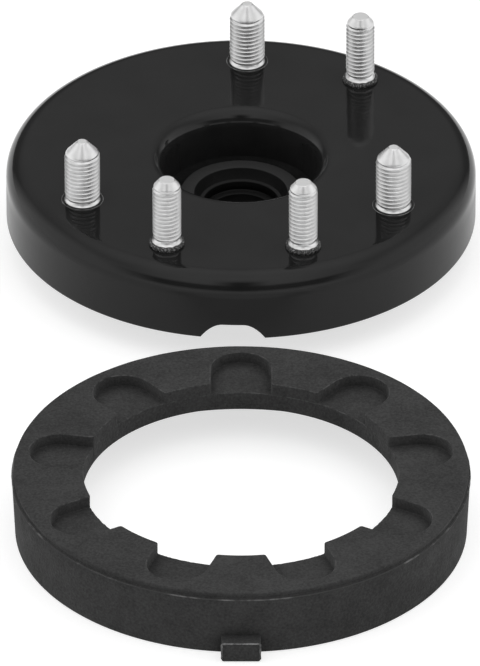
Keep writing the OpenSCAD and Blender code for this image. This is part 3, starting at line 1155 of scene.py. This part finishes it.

# %% [markdown]
# ## Dress the frame
# Each new piece stands for the solid of the same place and rides on the part's one body. The ring and its
# flash are left out of mirror images: in the picture the two pieces were shot apart, so the paint doesn't
# show the ring.

# %% Dress the frame
DRESSING = [
    (shell, paint, "black_paint", "shell"),
    (body_studs, zinc, "zinc_steel", "body_studs"),
    (slim_studs, zinc, "zinc_steel", "slim_studs"),
    (knurls, knurl_finish, "zinc_steel", None),
    (paint_rims, paint, "black_paint", None),
    (painted_rim_highlights, highlight_edge_paint, "black_paint", None),
    (sleeve, coating, "coated_steel", "rod_sleeve"),
    (bush, bush_rubber, "bush_rubber", "rod_bush"),
    (isolator, ring_rubber, "ring_rubber", "spring_isolator"),
    (flash, flash_finish, "ring_rubber", None),
    (tab_flash, fin_finish, "ring_rubber", None),
]
for piece, material, slot, node in DRESSING:
    piece.data.materials.clear()
    piece.data.materials.append(material)
    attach(piece, "root")
    if node:
        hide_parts(node)
for piece in (isolator, flash, tab_flash):
    piece.visible_glossy = False
print("pieces dressed", len(DRESSING))

# %% [markdown]
# ## Floor
# The picture's ground is white. Turning up the light until a floor looks white would wash out the part,
# so the floor is grey and adds a glow that only camera, mirror and glass rays see, by the Light Path
# node. It still takes the soft shadow. It lies a hair below the part, so that no faces coincide.

# %% Floor
FLOOR_HALF = 8.0
FLOOR_GAP = 0.05 * MM
FLOOR_GREY = (0.5, 0.5, 0.5, 1)
FLOOR_GLOW = 0.66
WHITE = (1, 1, 1, 1)


def make_floor():
    build = bmesh.new()
    bmesh.ops.create_grid(build, x_segments=1, y_segments=1, size=FLOOR_HALF,
                          matrix=Matrix.Translation((0, 0, floor_z - FLOOR_GAP)))
    floor = finish_mesh("studio_floor", build)
    material, tree, shader = new_material(
        "pale_floor", Base_Color=FLOOR_GREY, Roughness=0.9, Emission_Color=WHITE)
    rays = add_node(tree, "ShaderNodeLightPath").outputs
    mirrored = calculate(tree, "MAXIMUM", rays["Is Glossy Ray"], rays["Is Transmission Ray"])
    seen = calculate(tree, "MAXIMUM", rays["Is Camera Ray"], mirrored)
    feed(shader, "Emission Strength", calculate(tree, "MULTIPLY", seen, FLOOR_GLOW))
    floor.data.materials.append(material)


make_floor()
print("studio floor at", round(floor_z / MM, 1), "mm")

# %% [markdown]
# ## Surround
# Gloss paint shows whatever stands round it, so the light is one soft surround instead of lamps, whose
# shapes would show. Its brightness depends on the direction alone. It is dim behind the part, because
# the plate's face mirrors that side to the camera and has to stay black. The front has a dark gap in
# its middle, and both far sides and the top are bright. The camera itself sees plain white.

# %% Surround
SURROUND_LEVEL = 1.65
# Brightness by how far a direction rises, as (sine of its elevation, brightness).
BEHIND = [(0.0, 0.12), (0.12, 0.06), (0.3, 0.1), (0.46, 0.25), (0.56, 0.31), (0.72, 0.38), (0.95, 0.85)]
BESIDE = [(0.0, 0.9), (0.14, 0.75), (0.28, 0.12), (0.54, 0.1), (0.66, 0.8), (0.9, 1.0)]
GAP = [(0.0, 0.9), (0.14, 0.7), (0.27, 0.04), (0.78, 0.04), (0.94, 1.0)]
GAP_EDGE = (0.04, 0.2)
FRONT_EDGE = (-0.6, -0.1)
FAR_SIDE_EDGE = (0.6, 0.85)
FAR_SIDE = 0.8


def make_surround():
    world = bpy.data.worlds.new("white_surround")
    bpy.context.scene.world = world
    world.use_nodes = True
    tree = world.node_tree
    light = tree.nodes["Background"]
    direction = split_vector(tree, add_node(tree, "ShaderNodeTexCoord").outputs["Generated"])
    behind, beside, gap = (ramp(tree, direction["Z"], stops) for stops in (BEHIND, BESIDE, GAP))
    across = calculate(tree, "ABSOLUTE", direction["X"])
    front = blend_numbers(tree, stretch(tree, across, *GAP_EDGE), gap, beside)
    round_about = blend_numbers(tree, stretch(tree, direction["Y"], *FRONT_EDGE), front, behind)
    boxed = blend_numbers(tree, stretch(tree, across, *FAR_SIDE_EDGE), round_about, FAR_SIDE)
    level = calculate(tree, "MULTIPLY", boxed, SURROUND_LEVEL)
    seen = add_node(tree, "ShaderNodeLightPath").outputs["Is Camera Ray"]
    light.inputs["Color"].default_value = WHITE
    feed(light, "Strength", blend_numbers(tree, seen, level, 1.0))


make_surround()
print("surround level", SURROUND_LEVEL)

# %% [markdown]
# ## View transform
# Dressing must not change the part's real size. The Standard view transform shows colours as they were
# written.

# %% View transform
scene = bpy.context.scene
scene.view_settings.view_transform = "Standard"
